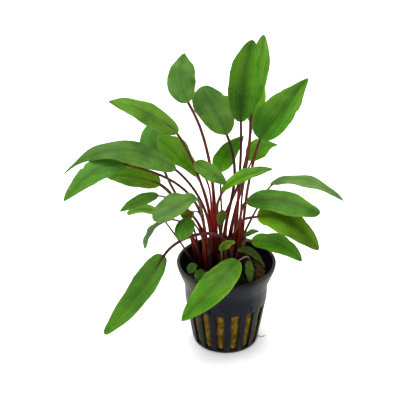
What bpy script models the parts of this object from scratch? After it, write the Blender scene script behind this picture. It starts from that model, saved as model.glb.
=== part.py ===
"""A potted cryptocoryne: a rosette of long-stalked leaves in a small slotted pot packed with rock wool.

The origin is the middle of the pot's underside. X runs to the right, Y to the back and Z up.
Sizes are in millimetres and are turned to metres as each piece is made.
"""

import math
from collections import namedtuple

import bmesh
import bpy
from mathutils import Matrix, Vector

MM = 0.001
GAP = 0.3
SHARP_ANGLE = math.radians(40)
WELD = 0.01 * MM

# Pot: a tapered cup with a flared lip, its wall cut by a ring of upright slots
WALL = 1.1
FLOOR = 1.4
LIP_WIDTH = 1.9
POT_OUTSIDE = ((27.0, 49.0), (26.7, 46.5), (24.7, 41.0), (22.7, 36.0), (22.4, 26.7), (18.1, 1.2),
               (17.4, 0.0))
POT_STEPS = 48
SLOTS = 16
SLOT_HALF_ANGLE = math.radians(6.3)
SLOT_LOW, SLOT_HIGH = 1.9, 26.7
SLOT_TURN = math.radians(-9.5)
DRAINS = 8
DRAIN_HALF_ANGLE = math.radians(9.0)
DRAIN_INNER, DRAIN_OUTER = 7.0, 13.0

# Rock wool: the plug that fills the pot up to this height, with a pocket for each crown
WOOL_TOP = 41.0
WOOL_STEPS = 30

# Crowns: the two short rootstocks that the stalks rise from
CROWN_TOP = 42.6
CROWN_DEPTH = 6.0
CROWN_SIDES = 16
CROWN_TAPER = 0.9
CROWNS = {"crown_left": (-8.0, 0.0, 7.5), "crown_right": (6.0, 0.0, 6.0)}

# Leaves
STALK_FOOT = 43.3
STALK_FOOT_RADIUS = 0.9
STALK_TOP_RADIUS = 0.62
STALK_STEPS = 4
CURVE_STEP = 0.001
STALK_END_GAP = 0.85
BLADE_THICKNESS = 0.7
BLADE_TIP_HALF_WIDTH = 0.4
BLADE_ROWS, BLADE_COLUMNS = 7, 4
YOUNG_ROWS, YOUNG_COLUMNS = 6, 2
YOUNG_STALK_REACH = 0.22
YOUNG_STALK_SIZE = 0.75
YOUNG_STALK_STEPS = 3

# A leaf's stalk runs from root (x, y) on a crown through bend to base, and its midrib from base
# through middle to tip. faces is where the upper side looks: degrees round from the front towards
# the right, and degrees above level. fold lifts the two halves, or drops them where it is below 0.
# widest is where the blade is widest, as a share of its length, and narrowing draws its base in.
# knees are more points of the stalk, between its root and its bend.
Leaf = namedtuple("Leaf", "name root bend base middle tip width faces fold widest narrowing knees",
                  defaults=(0.5, ()))

LEAVES = (
    Leaf("01", (-10, 2.2), (-16.4, 0, 91.2), (-26.5, -2, 106.5), (-56.8, -8.5, 121), (-84.6, -10, 107.8),
         13, (0, 60), -10, 0.42, knees=((-9, 0.6, 70.4),)),
    Leaf("02", (-12.3, 1.2), (-21.6, -2, 93.2), (-51.8, -6, 111.5), (-67.8, -15.3, 112.7),
         (-84, -24, 99.3), 12.5, (0, 50), -8, 0.42, knees=((-11.8, -0.9, 69.6),)),
    Leaf("03", (-13.6, 2.8), (-23.6, -3, 80.4), (-35.2, -4, 98.7), (-50, -3, 102.3), (-64, -2, 102),
         12.5, (0, 50), 8, 0.40),
    Leaf("04", (-6.7, 3.6), (-15.7, 2.6, 101.4), (-25.5, 2, 125.3), (-42.4, 0, 138.8),
         (-60.7, -4, 146.1), 13, (-20, 55), -10, 0.40, knees=((-8.8, 3.2, 73.5),)),
    Leaf("05", (-11.5, 5.2), (-22.3, 6, 79), (-34, 13, 99.5), (-38, 15, 112), (-36, 19, 126), 17,
         (0, 35), 5, 0.45, knees=((-13.7, 3, 67.6),)),
    Leaf("06", (-9, 5.7), (-12.6, 5.8, 90.4), (-15.8, 5, 98.3), (-25.6, 7, 109), (-36.5, 10, 118), 14,
         (0, 45), 5, 0.45, knees=((-8.8, 5.8, 73),)),
    Leaf("07", (-6.5, 6.2), (-8.6, 10, 99.5), (-20.4, 14, 137), (-24.6, 25, 147), (-22.4, 38, 154.6), 15,
         (0, 50), 12, 0.38),
    Leaf("08", (2.2, 4.0), (3.9, 7.5, 92.2), (0, 12, 119.7), (-7.8, 27, 128.2), (-14, 43, 132.6), 20,
         (0, 60), 8, 0.47, 0.55, ((-0.4, 3.5, 68.6),)),
    Leaf("09", (3.8, 2.4), (7, 6.2, 106.5), (7, 9, 128), (8.5, 13, 151), (13, 20, 169.5), 16, (0, 12), 8,
         0.47, knees=((5.7, 3.9, 77.7),)),
    Leaf("10", (3.9, 5.3), (9.2, 8.5, 96.5), (12.2, 18, 132), (16, 24, 151), (18.7, 28, 169), 11.5,
         (0, 12), 8, 0.45, knees=((2.8, 6, 67.5),)),
    Leaf("11", (0.7, 1.7), (5.3, 12, 86.1), (13.3, 22, 121.5), (15.5, 29, 133), (17, 38, 145), 10.5,
         (0, 20), 8, 0.42, knees=((-2.7, 5, 68.4),)),
    Leaf("12", (6.6, 2.7), (11.6, 7, 92.5), (17, 9, 118), (29, 14, 133), (42, 20, 148), 15.2, (10, 30),
         10, 0.38, knees=((8.8, 3, 69.5),)),
    Leaf("13", (1.4, -0.6), (-5.2, -2.5, 82.8), (-3.2, -6, 95.2), (9, -9, 106), (23, -13, 112.3), 7,
         (-10, 60), 0, 0.45, 0.7, ((-3.4, -0.8, 68.6),)),
    Leaf("14", (8.6, 1.2), (18.4, 5, 83.3), (22.8, 6, 93.4), (42, 2, 97.6), (61.5, -4, 88.6), 11,
         (0, 88), -5, 0.45, 0.68, ((8.6, 0.4, 61.5), (12.8, 3.5, 72))),
    Leaf("15", (6.2, 0.5), (6.8, -1.5, 74), (10, -3, 87.8), (30, -9, 91.2), (48.2, -15, 87), 13.4,
         (5, 65), -8, 0.48, 0.42),
    Leaf("16", (4, 0.2), (8.1, -5, 77), (15.5, -7, 80.7), (32.3, -13, 81), (48.2, -18, 66.8), 15.2,
         (0, 60), -12, 0.45, knees=((3.8, -2, 65.6),)),
    Leaf("17", (8.4, -1.2), (8.7, -2.5, 60), (13, -3, 63), (27, -7, 64), (40, -12, 56), 11, (5, 65), -8,
         0.42),
    Leaf("18", (9.6, -3.3), (12, -9, 56), (6, -14, 58), (-8, -32, 52), (-24, -37, 34.6), 16, (-15, 40),
         -5, 0.42),
    Leaf("19", (2.3, -2.9), (-19.6, -13, 72), (-33.6, -14, 61), (-47, -22, 42), (-65.3, -32, 22.8), 12.3,
         (-15, 40), 0, 0.45, 0.38, ((-2.6, -8, 68.4),)),
    Leaf("20", (-9.2, -1.5), (-12.4, -5, 76.7), (-16, -8, 93), (-27, -17, 92.3), (-38, -26, 89), 14.5,
         (-10, 70), 0, 0.50),
)

YOUNG_LEAVES = (
    Leaf("01", (9.3, 3.6), (8, 9, 81.6), (14, 21, 98.6), (17.6, 24, 105.1), (27.7, 28, 105.2), 11,
         (10, 40), 0, 0.42),
    Leaf("02", (-2.8, 4.2), (-2.9, 10, 77), (-3.8, 16, 94.8), (-0.4, 23, 101), (9.3, 31, 109), 11,
         (-10, 35), 5, 0.42),
    Leaf("03", (-4.6, 2.4), (-10.4, 1.4, 97), (-17.2, 0, 109.4), (-9, -6, 106.6), (-1, -12, 103), 9,
         (0, 50), 0, 0.45, knees=((-8.5, 1.4, 84),)),
    Leaf("04", (11.2, 1.2), (10.8, 8.5, 52), (10, 10, 58), (14, 11, 61), (18, 12, 60), 3.5, (0, 60), -20,
         0.45),
    Leaf("05", (-14.4, 0.3), (-20, -6, 79.1), (-36, -5, 92.5), (-46, -8, 91), (-56.3, -11, 85.8), 6.6,
         (0, 45), -10, 0.42),
    Leaf("06", (-13.8, -2.6), (-22.8, -5, 60), (-32.8, -5, 76.4), (-42, -6, 84.7), (-52.6, -8, 82.5),
         4.8, (0, 35), 15, 0.55),
    Leaf("07", (-12.6, -0.8), (-25.6, -9, 79), (-35.4, -12, 79.8), (-40.6, -15, 75.2),
         (-43.4, -17, 66.7), 5, (-60, 20), 20, 0.55, knees=((-18, -6, 66.8),)),
    Leaf("08", (-10.8, -4.1), (-14.9, -9, 73.4), (-18.2, -12, 82), (-22.3, -20, 81.5), (-23.3, -27, 78),
         10, (0, 60), -10, 0.50, knees=((-12.3, -8.5, 64.4),)),
    Leaf("09", (-12.3, -5.2), (-14.3, -8, 49), (-17, -9.5, 53), (-18.9, -11.3, 51), (-20.3, -12.4, 48.4),
         5, (-20, 50), 0, 0.45),
    Leaf("10", (-9.4, -5.6), (-10.5, -9.5, 48), (-12.3, -11.5, 50), (-14.1, -14.6, 49),
         (-15.8, -17.5, 46), 6.4, (0, 60), 0, 0.45),
    Leaf("11", (-4.4, -4.6), (-3, -9, 53), (-2.6, -11, 62), (-1, -12, 66), (4, -14, 69), 5, (20, 20), 25,
         0.45),
    Leaf("12", (-3, -2.6), (-3.2, -1.6, 60), (-3.5, -6, 74.7), (-3.2, -6, 80), (-2.3, -6, 84), 5.4,
         (30, 5), 20, 0.60),
)

OLD_LEAVES = (
    Leaf("01", (5.2, -2.2), (4.8, -6, 52), (5.5, -7, 59.5), (13, -9, 60.3), (20.5, -13, 53), 4.5,
         (20, 50), -20, 0.50),
    Leaf("02", (7.4, -4.2), (9, -10, 51), (11, -13, 57), (12, -17, 54), (12, -20, 48), 4.5, (0, 50), -10,
         0.50),
    Leaf("03", (-11.6, -2.3), (-13.8, -7.5, 81.1), (-18.2, -8, 83.8), (-21, -8, 82), (-24.5, -9, 82.5),
         6, (0, 35), 15, 0.45, knees=((-11.9, -6, 66.8),)),
)

# How much narrower than the plain outline a large blade's left and right half are at its base and
# its tip, as seen from the stalk with the upper side up, and how much wider where below 0
Trim = namedtuple("Trim", "left_base left_tip right_base right_tip", defaults=(0.0, 0.0, 0.0, 0.0))
TRIMS = {
    "01": Trim(left_base=-0.40, left_tip=0.50),
    "03": Trim(left_base=0.08, left_tip=0.08),
    "04": Trim(left_tip=0.04, right_base=0.08),
    "05": Trim(right_base=-0.30, right_tip=-0.10),
    "06": Trim(left_base=0.60, right_base=0.28, right_tip=-0.40),
    "07": Trim(left_base=-0.10, left_tip=0.22, right_base=0.05, right_tip=-0.28),
    "12": Trim(left_base=-0.50, left_tip=-0.08),
    "13": Trim(left_base=-0.40, left_tip=-0.20, right_base=0.30),
    "14": Trim(left_base=-0.05, left_tip=0.05),
    "15": Trim(left_base=-0.28, left_tip=0.12, right_tip=-0.30),
    "16": Trim(left_base=-0.50, right_tip=-0.08),
    "17": Trim(left_base=-0.15, left_tip=-0.40),
    "19": Trim(right_base=-0.30, right_tip=-0.05),
    "20": Trim(left_base=0.40, right_base=-0.32, right_tip=-0.10),
}
TRIM_START, TRIM_END = 0.15, 0.85

# Colours are linear red, green and blue
BLACK_PLASTIC = (0.018, 0.019, 0.027)
WOOL_BROWN = (0.19, 0.13, 0.03)
ROOTSTOCK_BROWN = (0.08, 0.03, 0.013)
BLADE_GREEN = (0.06, 0.26, 0.02)
STALK_RED = (0.15, 0.014, 0.009)
YOUNG_GREEN = (0.10, 0.30, 0.03)
OLD_OLIVE = (0.10, 0.08, 0.012)


def clear_scene():
    for obj in list(bpy.data.objects):
        bpy.data.objects.remove(obj)


def new_collection(name):
    collection = bpy.data.collections.new(name)
    bpy.context.scene.collection.children.link(collection)
    return collection


def plain_material(name, colour, roughness):
    material = bpy.data.materials.new(name)
    material.use_nodes = True
    shader = material.node_tree.nodes["Principled BSDF"]
    shader.inputs["Base Color"].default_value = (*colour, 1.0)
    shader.inputs["Roughness"].default_value = roughness
    shader.inputs["Metallic"].default_value = 0.0
    return material


def object_from_bmesh(name, bm, collection):
    mesh = bpy.data.meshes.new(name)
    bm.to_mesh(mesh)
    bm.free()
    obj = bpy.data.objects.new(name, mesh)
    collection.objects.link(obj)
    return obj


def settle(obj, material):
    """Turns an object's modifiers into plain mesh, shaded smooth except at its sharp edges."""
    bpy.context.view_layer.update()
    evaluated = obj.evaluated_get(bpy.context.evaluated_depsgraph_get())
    mesh = bpy.data.meshes.new_from_object(evaluated)
    mesh.name = obj.name
    obj.modifiers.clear()
    obj.data = mesh
    mesh.materials.clear()
    mesh.materials.append(material)
    mesh.shade_smooth()
    mesh.set_sharp_from_angle(angle=SHARP_ANGLE)
    return obj


def cut(obj, cutter, operation="DIFFERENCE"):
    boolean = obj.modifiers.new(operation.capitalize(), "BOOLEAN")
    boolean.operation = operation
    boolean.solver = "EXACT"
    boolean.object = cutter
    cutter.hide_render = True
    cutter.display_type = "WIRE"


def turned(name, profile, steps, collection):
    """Spins an outline of (radius, height) points, which runs down the outer side, about the Z axis."""
    bm = bmesh.new()
    points = [bm.verts.new((radius * MM, 0, height * MM)) for radius, height in profile]
    for upper, lower in zip(points, points[1:]):
        bm.edges.new((upper, lower))
    obj = object_from_bmesh(name, bm, collection)
    screw = obj.modifiers.new("Turn", "SCREW")
    screw.steps = steps
    screw.render_steps = steps
    screw.use_merge_vertices = True
    screw.merge_threshold = WELD
    return obj


def wedge_ring(name, count, inner, outer, half_angle, low, high, first, collection):
    """A ring of wedges that widen outwards, for cutting upright slots or drain holes."""
    bm = bmesh.new()
    for number in range(count):
        wedge = bmesh.ops.create_cube(bm, size=1.0)["verts"]
        for vert in wedge:
            radius = outer if vert.co.x > 0 else inner
            sideways = radius * math.tan(half_angle) * (1 if vert.co.y > 0 else -1)
            vert.co = Vector((radius, sideways, high if vert.co.z > 0 else low)) * MM
        turn = first - math.pi / 2 + number * 2 * math.pi / count
        bmesh.ops.rotate(bm, verts=wedge, cent=(0, 0, 0), matrix=Matrix.Rotation(turn, 3, "Z"))
    return object_from_bmesh(name, bm, collection)


def disc(name, x, y, radius_low, radius_high, low, high, collection):
    bm = bmesh.new()
    place = Matrix.Translation(Vector((x, y, (low + high) / 2)) * MM)
    bmesh.ops.create_cone(bm, cap_ends=True, segments=CROWN_SIDES, radius1=radius_low * MM,
                          radius2=radius_high * MM, depth=(high - low) * MM, matrix=place)
    return object_from_bmesh(name, bm, collection)


def make_pot(parts, cutters, material):
    inside = [(radius - WALL, height) for radius, height in POT_OUTSIDE[2:-2]]
    lip = [(radius - LIP_WIDTH, height) for radius, height in POT_OUTSIDE[:2]]
    floor_edge = (POT_OUTSIDE[-2][0] - WALL, FLOOR)
    outline = [(0, FLOOR), floor_edge, *reversed(inside), *reversed(lip), *POT_OUTSIDE, (0, 0)]
    pot = turned("pot", outline, POT_STEPS, parts)
    beyond = POT_OUTSIDE[0][0]
    slots = wedge_ring("slot_cutter", SLOTS, POT_OUTSIDE[-1][0] / 2, beyond, SLOT_HALF_ANGLE,
                       SLOT_LOW, SLOT_HIGH, SLOT_TURN, cutters)
    drains = wedge_ring("drain_cutter", DRAINS, DRAIN_INNER, DRAIN_OUTER, DRAIN_HALF_ANGLE,
                        -FLOOR, 2 * FLOOR, 0.0, cutters)
    cut(pot, slots)
    cut(pot, drains)
    return settle(pot, material)


def make_wool(parts, cutters, material):
    top_edge = (POT_OUTSIDE[2][0] - WALL - 2 * GAP, WOOL_TOP - GAP)
    sides = [(radius - WALL - 1.5 * GAP, height) for radius, height in POT_OUTSIDE[3:-2]]
    foot = FLOOR + GAP
    foot_edge = (POT_OUTSIDE[-2][0] - WALL - 1.5 * GAP, foot)
    wool = turned("rock_wool", [(0, WOOL_TOP), top_edge, *sides, foot_edge, (0, foot)], WOOL_STEPS, parts)
    for name, (x, y, radius) in CROWNS.items():
        low = CROWN_TOP - CROWN_DEPTH - GAP
        pocket = disc(name + "_pocket", x, y, radius + GAP, radius + GAP, low, CROWN_TOP, cutters)
        cut(wool, pocket)
    return settle(wool, material)


def make_crown(name, parts, material):
    x, y, radius = CROWNS[name]
    crown = disc(name, x, y, radius * CROWN_TAPER, radius, CROWN_TOP - CROWN_DEPTH, CROWN_TOP, parts)
    return settle(crown, material)


def through(points, share):
    """The point and the direction of the smooth curve through all the points, share of the way along."""
    def place(at):
        summed = Vector((0, 0, 0))
        for number, point in enumerate(points):
            others = [other for other in range(len(points)) if other != number]
            reach = at * (len(points) - 1)
            summed += point * math.prod((reach - other) / (number - other) for other in others)
        return summed
    return place(share), (place(share + CURVE_STEP) - place(share - CURVE_STEP)).normalized()


def looking(faces):
    bearing, lift = (math.radians(angle) for angle in faces)
    level = math.cos(lift)
    return Vector((math.sin(bearing) * level, -math.cos(bearing) * level, math.sin(lift)))


def half_width(leaf, along):
    """Half the blade's width: a rounded base, the widest place, then a taper to the tip."""
    taper = leaf.narrowing * (1 - leaf.widest) / leaf.widest
    share = (along / leaf.widest) ** leaf.narrowing * ((1 - along) / (1 - leaf.widest)) ** taper
    return max(leaf.width / 2 * share, BLADE_TIP_HALF_WIDTH)


def margin(trim, along, across):
    """How far one half of a blade reaches, as a share of the plain outline."""
    even = min(1.0, max(0.0, (along - TRIM_START) / (TRIM_END - TRIM_START)))
    at_base, at_tip = (trim.left_base, trim.left_tip) if across < 0 else (trim.right_base, trim.right_tip)
    return 1 - at_base - (at_tip - at_base) * even * even * (3 - 2 * even)


def blade_point(leaf, along, across, trim):
    """A point of the blade: along runs 0 to 1 from base to tip, across -1 to 1 from edge to edge."""
    midrib = [Vector(point) for point in (leaf.base, leaf.middle, leaf.tip)]
    centre, direction = through(midrib, along)
    side = direction.cross(looking(leaf.faces)).normalized()
    up = side.cross(direction)
    fold = math.radians(leaf.fold)
    reach = half_width(leaf, along) * margin(trim, along, across)
    return centre + side * (reach * across * math.cos(fold)) + up * (reach * abs(across) * math.sin(fold))


def make_blade(name, leaf, rows, columns, parts, material, trim=Trim()):
    """One blade: a grid bent to the leaf's form and given its thickness."""
    bm = bmesh.new()
    bmesh.ops.create_grid(bm, x_segments=columns, y_segments=rows, size=1.0)
    for vert in bm.verts:
        even = (vert.co.y + 1) / 2
        along = (even + (1 - math.cos(math.pi * even)) / 2) / 2
        vert.co = blade_point(leaf, along, vert.co.x, trim) * MM
    blade = object_from_bmesh(name, bm, parts)
    thickness = blade.modifiers.new("Thickness", "SOLIDIFY")
    thickness.thickness = BLADE_THICKNESS * MM
    thickness.offset = 0
    return settle(blade, material)


def stalk_points(leaf, steps, reach):
    """Points up the stalk, the last of them short of the blade, or inside it where reach is above 0."""
    foot = Vector((*leaf.root, STALK_FOOT))
    stalk = [foot, *(Vector(knee) for knee in leaf.knees), Vector(leaf.bend), Vector(leaf.base)]
    steps += max(0, len(leaf.knees) - 1)
    points = [through(stalk, step / steps)[0] for step in range(steps + 1)]
    if reach > 0:
        midrib = [Vector(point) for point in (leaf.base, leaf.middle, leaf.tip)]
        points.append(through(midrib, reach)[0])
    else:
        points[-1] = points[-1] - through(stalk, 1.0)[1] * STALK_END_GAP
    return points


def make_stalk(name, leaf, steps, reach, size, parts, material):
    """One stalk: a round rod that thins from its foot to the blade."""
    points = stalk_points(leaf, steps, reach)
    curve = bpy.data.curves.new(name, "CURVE")
    curve.dimensions = "3D"
    curve.bevel_depth = MM
    curve.bevel_resolution = 1
    curve.use_fill_caps = True
    spline = curve.splines.new("POLY")
    spline.points.add(len(points) - 1)
    for step, (control, point) in enumerate(zip(spline.points, points)):
        share = step / (len(points) - 1)
        control.co = (*(point * MM), 1.0)
        control.radius = size * (STALK_FOOT_RADIUS + (STALK_TOP_RADIUS - STALK_FOOT_RADIUS) * share)
    rod = bpy.data.objects.new(name, curve)
    parts.objects.link(rod)
    bpy.context.view_layer.update()
    mesh = bpy.data.meshes.new_from_object(rod.evaluated_get(bpy.context.evaluated_depsgraph_get()))
    bpy.data.objects.remove(rod)
    bm = bmesh.new()
    bm.from_mesh(mesh)
    bmesh.ops.remove_doubles(bm, verts=bm.verts, dist=WELD)
    return settle(object_from_bmesh(name, bm, parts), material)


def make_small_leaf(name, leaf, parts, cutters, material):
    """A small leaf: blade and stalk in one piece, the stalk running on into the midrib."""
    blade = make_blade(name, leaf, YOUNG_ROWS, YOUNG_COLUMNS, parts, material)
    stalk = make_stalk(name + "_stalk", leaf, YOUNG_STALK_STEPS, YOUNG_STALK_REACH, YOUNG_STALK_SIZE,
                       cutters, material)
    cut(blade, stalk, "UNION")
    return settle(blade, material)


def main():
    clear_scene()
    parts = new_collection("potted_cryptocoryne")
    cutters = new_collection("cutters")
    make_pot(parts, cutters, plain_material("black_plastic", BLACK_PLASTIC, 0.4))
    make_wool(parts, cutters, plain_material("rock_wool", WOOL_BROWN, 0.95))
    rootstock = plain_material("rootstock", ROOTSTOCK_BROWN, 0.8)
    for name in CROWNS:
        make_crown(name, parts, rootstock)
    green = plain_material("leaf_green", BLADE_GREEN, 0.35)
    red = plain_material("stalk_red", STALK_RED, 0.4)
    for leaf in LEAVES:
        trim = TRIMS.get(leaf.name, Trim())
        make_blade("blade_" + leaf.name, leaf, BLADE_ROWS, BLADE_COLUMNS, parts, green, trim)
        make_stalk("stalk_" + leaf.name, leaf, STALK_STEPS, 0.0, 1.0, parts, red)
    young = plain_material("young_green", YOUNG_GREEN, 0.35)
    for leaf in YOUNG_LEAVES:
        make_small_leaf("young_leaf_" + leaf.name, leaf, parts, cutters, young)
    olive = plain_material("old_olive", OLD_OLIVE, 0.5)
    for leaf in OLD_LEAVES:
        make_small_leaf("old_leaf_" + leaf.name, leaf, parts, cutters, olive)


main()
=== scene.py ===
import math
from collections import namedtuple

import bmesh
import bpy
from mathutils import Matrix, Vector, noise


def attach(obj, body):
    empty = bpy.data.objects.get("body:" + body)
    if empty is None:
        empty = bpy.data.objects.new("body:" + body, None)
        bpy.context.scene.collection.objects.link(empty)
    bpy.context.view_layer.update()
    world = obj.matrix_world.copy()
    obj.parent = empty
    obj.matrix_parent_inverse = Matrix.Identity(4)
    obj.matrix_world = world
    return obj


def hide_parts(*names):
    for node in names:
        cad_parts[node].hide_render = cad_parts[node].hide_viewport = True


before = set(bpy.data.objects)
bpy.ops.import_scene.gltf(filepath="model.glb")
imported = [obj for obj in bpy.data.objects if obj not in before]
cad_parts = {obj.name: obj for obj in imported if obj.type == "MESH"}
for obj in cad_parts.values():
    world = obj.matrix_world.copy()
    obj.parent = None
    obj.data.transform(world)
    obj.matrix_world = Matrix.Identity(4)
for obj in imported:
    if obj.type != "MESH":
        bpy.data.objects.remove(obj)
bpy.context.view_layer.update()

scene = bpy.context.scene
MM = 0.001


# The pot. One moulding of black plastic with a flared, rounded lip and sixteen upright slots, its
# foot turned under. It stands on the floor by itself and carries everything else.

# The wall's outline, as radius and height: up the outside from the foot, over the lip, down inside.
POT_OUTLINE = (
    (16.8, 0.0), (17.4, 0.12), (17.8, 0.5), (18.1, 1.4), (18.75, 5.0), (20.6, 16.0), (22.3, 26.5),
    (22.5, 30.5), (22.6, 34.5), (22.85, 36.4), (23.5, 38.3), (24.5, 40.8), (25.7, 43.8),
    (26.5, 46.0), (26.9, 47.6), (26.97, 48.4), (26.7, 48.85), (26.2, 49.0), (25.6, 48.9),
    (25.2, 48.5), (25.05, 47.6), (24.8, 46.4), (24.3, 44.3), (23.35, 41.3), (22.3, 38.6),
    (21.75, 36.6), (21.5, 34.5), (21.4, 30.5), (21.2, 26.5), (19.5, 16.0), (17.6, 5.0),
    (17.0, 1.9), (16.6, 1.5), (15.0, 1.4),
)
POT_FACETS = 192
POT_SHARP_ANGLE = 38
POT_EDGE_SOFTNESS = 0.12
POT_EDGE_ANGLE = 50
FLOOR_RING = 6.0
FLOOR_THICKNESS = 1.4
# Between these two heights the pot's inner wall is painted near-black as shade.
SHOULDER_HEIGHT = 30.0
LIP_INNER_EDGE = 48.6
SLOTS = 16
SLOT_HALF_ANGLE = math.radians(6.3)
SLOT_LOW, SLOT_HIGH = 1.9, 26.7
SLOT_INNER, SLOT_OUTER = 9.0, 27.0
SLOT_TURN = math.radians(-9.5)
SLOT_CORNER = 0.5
DRAINS = 8
DRAIN_HALF_ANGLE = math.radians(9.0)
DRAIN_INNER, DRAIN_OUTER = 7.0, 13.0
# The moulding nicks above the slots: degrees round from the front, middle height and length.
NICKS = ((-24.0, 29.0, 4.2), (36.3, 29.2, 3.6), (-78.0, 35.0, 4.0))
NICK_HALF_ANGLE = math.radians(0.9)
NICK_INNER = 19.0
PLASTIC_DARK, PLASTIC_PALE = (0.0010, 0.0020, 0.0060), (0.0030, 0.0040, 0.0090)
INNER_WALL_SHADE = (0.0004, 0.0004, 0.0005)
POT_DUST = (0.10, 0.095, 0.075)
SIDE_REFLECTION_OLIVE = (0.060, 0.058, 0.040)
FOOT_REFLECTION = (0.045, 0.035, 0.015)


def put_down(name, bm, material, slot, *nodes, crease=180):
    """Makes the closed mesh a smooth-shaded piece of the plant, which stands for the solids named."""
    bmesh.ops.recalc_face_normals(bm, faces=bm.faces)
    mesh = bpy.data.meshes.new(name)
    bm.to_mesh(mesh)
    bm.free()
    mesh.materials.append(material)
    mesh.shade_smooth()
    mesh.set_sharp_from_angle(angle=math.radians(crease))
    piece = bpy.data.objects.new(name, mesh)
    scene.collection.objects.link(piece)
    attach(piece, "root")
    if nodes:
        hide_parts(*nodes)
    return piece


def turn_on_lathe(outline, steps):
    """Spins an outline of (radius, height) millimetres about the pot's axis."""
    bm = bmesh.new()
    points = [bm.verts.new((radius * MM, 0, height * MM)) for radius, height in outline]
    for lower, upper in zip(points, points[1:]):
        bm.edges.new((lower, upper))
    bmesh.ops.spin(bm, geom=bm.verts[:] + bm.edges[:], cent=(0, 0, 0), axis=(0, 0, 1),
                   angle=2 * math.pi, steps=steps, use_merge=True)
    bmesh.ops.remove_doubles(bm, verts=bm.verts, dist=1e-6)
    return bm


def wedge(bm, inner, outer, half_angle, low, high, turn):
    """A wedge that widens outwards from the pot's axis, for a slot or a drain opening."""
    made = bmesh.ops.create_cube(bm, size=1.0)["verts"]
    for vert in made:
        radius = outer if vert.co.x > 0 else inner
        vert.co = Vector((radius, math.copysign(radius * math.tan(half_angle), vert.co.y),
                          high if vert.co.z > 0 else low)) * MM
    bmesh.ops.rotate(bm, verts=made, cent=(0, 0, 0), matrix=Matrix.Rotation(turn - math.pi / 2, 3, "Z"))


def wire(tree, value, socket):
    """Feeds a socket from another node, or sets it to a plain value."""
    if isinstance(value, bpy.types.NodeSocket):
        tree.links.new(value, socket)
    else:
        socket.default_value = (*value, 1.0) if isinstance(value, tuple) and len(value) == 3 else value


def paint_over(tree, mask, under, over):
    node = tree.nodes.new("ShaderNodeMix")
    node.data_type = "RGBA"
    wire(tree, mask, node.inputs["Factor"])
    wire(tree, under, node.inputs[6])
    wire(tree, over, node.inputs[7])
    return node.outputs[2]


def sums(tree, operation, first, second=0.0, third=0.0):
    node = tree.nodes.new("ShaderNodeMath")
    node.operation = operation
    for value, socket in zip((first, second, third), node.inputs):
        wire(tree, value, socket)
    return node.outputs[0]


def ease(tree, value, low, high, start=0.0, end=1.0):
    """A smooth step from start to end as the value goes from low to high."""
    node = tree.nodes.new("ShaderNodeMapRange")
    node.interpolation_type = "SMOOTHSTEP"
    for number, setting in zip((1, 2, 3, 4), (low, high, start, end)):
        node.inputs[number].default_value = setting
    wire(tree, value, node.inputs[0])
    return node.outputs[0]


def cloudy(tree, place, scale, detail=3.0, roughness=0.5):
    node = tree.nodes.new("ShaderNodeTexNoise")
    wire(tree, place, node.inputs["Vector"])
    node.inputs["Scale"].default_value = scale
    node.inputs["Detail"].default_value = detail
    node.inputs["Roughness"].default_value = roughness
    return node.outputs["Fac"]


def stretched(tree, place, scale):
    node = tree.nodes.new("ShaderNodeMapping")
    wire(tree, place, node.inputs["Vector"])
    node.inputs["Scale"].default_value = scale
    return node.outputs["Vector"]


def raised(tree, height, strength, distance):
    node = tree.nodes.new("ShaderNodeBump")
    node.inputs["Strength"].default_value = strength
    node.inputs["Distance"].default_value = distance
    wire(tree, height, node.inputs["Height"])
    return node.outputs["Normal"]


def open_material(name, roughness, specular):
    """A new material, its node tree, its shader and its place on the object."""
    material = bpy.data.materials.new(name)
    material.use_nodes = True
    tree = material.node_tree
    shader = tree.nodes["Principled BSDF"]
    shader.inputs["Roughness"].default_value = roughness
    shader.inputs["Specular IOR Level"].default_value = specular
    place = tree.nodes.new("ShaderNodeTexCoord").outputs["Object"]
    return material, tree, shader, place


def grime_group():
    """Thin dust and dried water marks, shared by the pot and the stalks: a mask and a height."""
    group = bpy.data.node_groups.new("grime", "ShaderNodeTree")
    sockets = group.interface
    sockets.new_socket("Place", in_out="INPUT", socket_type="NodeSocketVector")
    sockets.new_socket("Amount", in_out="INPUT", socket_type="NodeSocketFloat")
    sockets.new_socket("Mask", in_out="OUTPUT", socket_type="NodeSocketFloat")
    sockets.new_socket("Height", in_out="OUTPUT", socket_type="NodeSocketFloat")
    into = group.nodes.new("NodeGroupInput")
    out = group.nodes.new("NodeGroupOutput")
    blotches = ease(group, cloudy(group, into.outputs["Place"], 160.0, 4.0, 0.6), 0.45, 0.75)
    specks = ease(group, cloudy(group, into.outputs["Place"], 2200.0, 2.0), 0.55, 0.72)
    both = sums(group, "MULTIPLY_ADD", specks, 0.5, blotches)
    both = sums(group, "MULTIPLY", both, into.outputs["Amount"])
    group.links.new(both, out.inputs["Mask"])
    group.links.new(specks, out.inputs["Height"])
    return group


GRIME = grime_group()


def grime(tree, place, amount):
    node = tree.nodes.new("ShaderNodeGroup")
    node.node_tree = GRIME
    tree.links.new(place, node.inputs["Place"])
    node.inputs["Amount"].default_value = amount
    return node.outputs["Mask"], node.outputs["Height"]


def attribute(tree, name, output):
    node = tree.nodes.new("ShaderNodeAttribute")
    node.attribute_name = name
    return node.outputs[output]


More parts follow.
